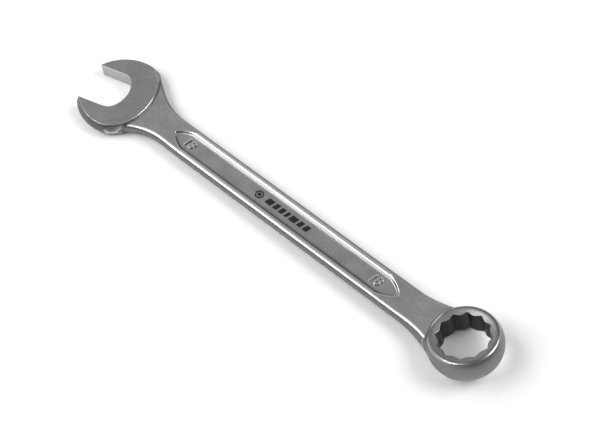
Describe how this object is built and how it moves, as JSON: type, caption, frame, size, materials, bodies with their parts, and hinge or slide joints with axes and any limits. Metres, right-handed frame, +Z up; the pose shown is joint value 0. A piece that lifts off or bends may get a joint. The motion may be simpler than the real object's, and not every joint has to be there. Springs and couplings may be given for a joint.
{
  "type": "combination wrench",
  "caption": "Combination wrench: forged steel bar with an angled open-end jaw at one end and an offset twelve-point ring at the other.",
  "frame": {"origin": "bottom centre of the bounding box, on the surface that the wrench lies on", "axes": "+X along the shank from the open end to the ring, +Y across the shank, +Z up out of the upper panel"},
  "size_m": [0.2134, 0.0386, 0.0169],
  "materials": {
    "plated_steel": "satin nickel-chrome plate over drop-forged alloy steel, blasted grain with bright rolled edges",
    "black_ink": "matt black printed ink"
  },
  "bodies": {
    "root": {"forged_body": "plated_steel", "ink_hexagon": "black_ink", "ink_dot": "black_ink", "ink_bar_1": "black_ink", "ink_bar_2": "black_ink", "ink_bar_3": "black_ink", "ink_bar_4": "black_ink", "ink_bar_5": "black_ink", "ink_bar_6": "black_ink", "ink_bar_7": "black_ink"}
  },
  "joints": []
}
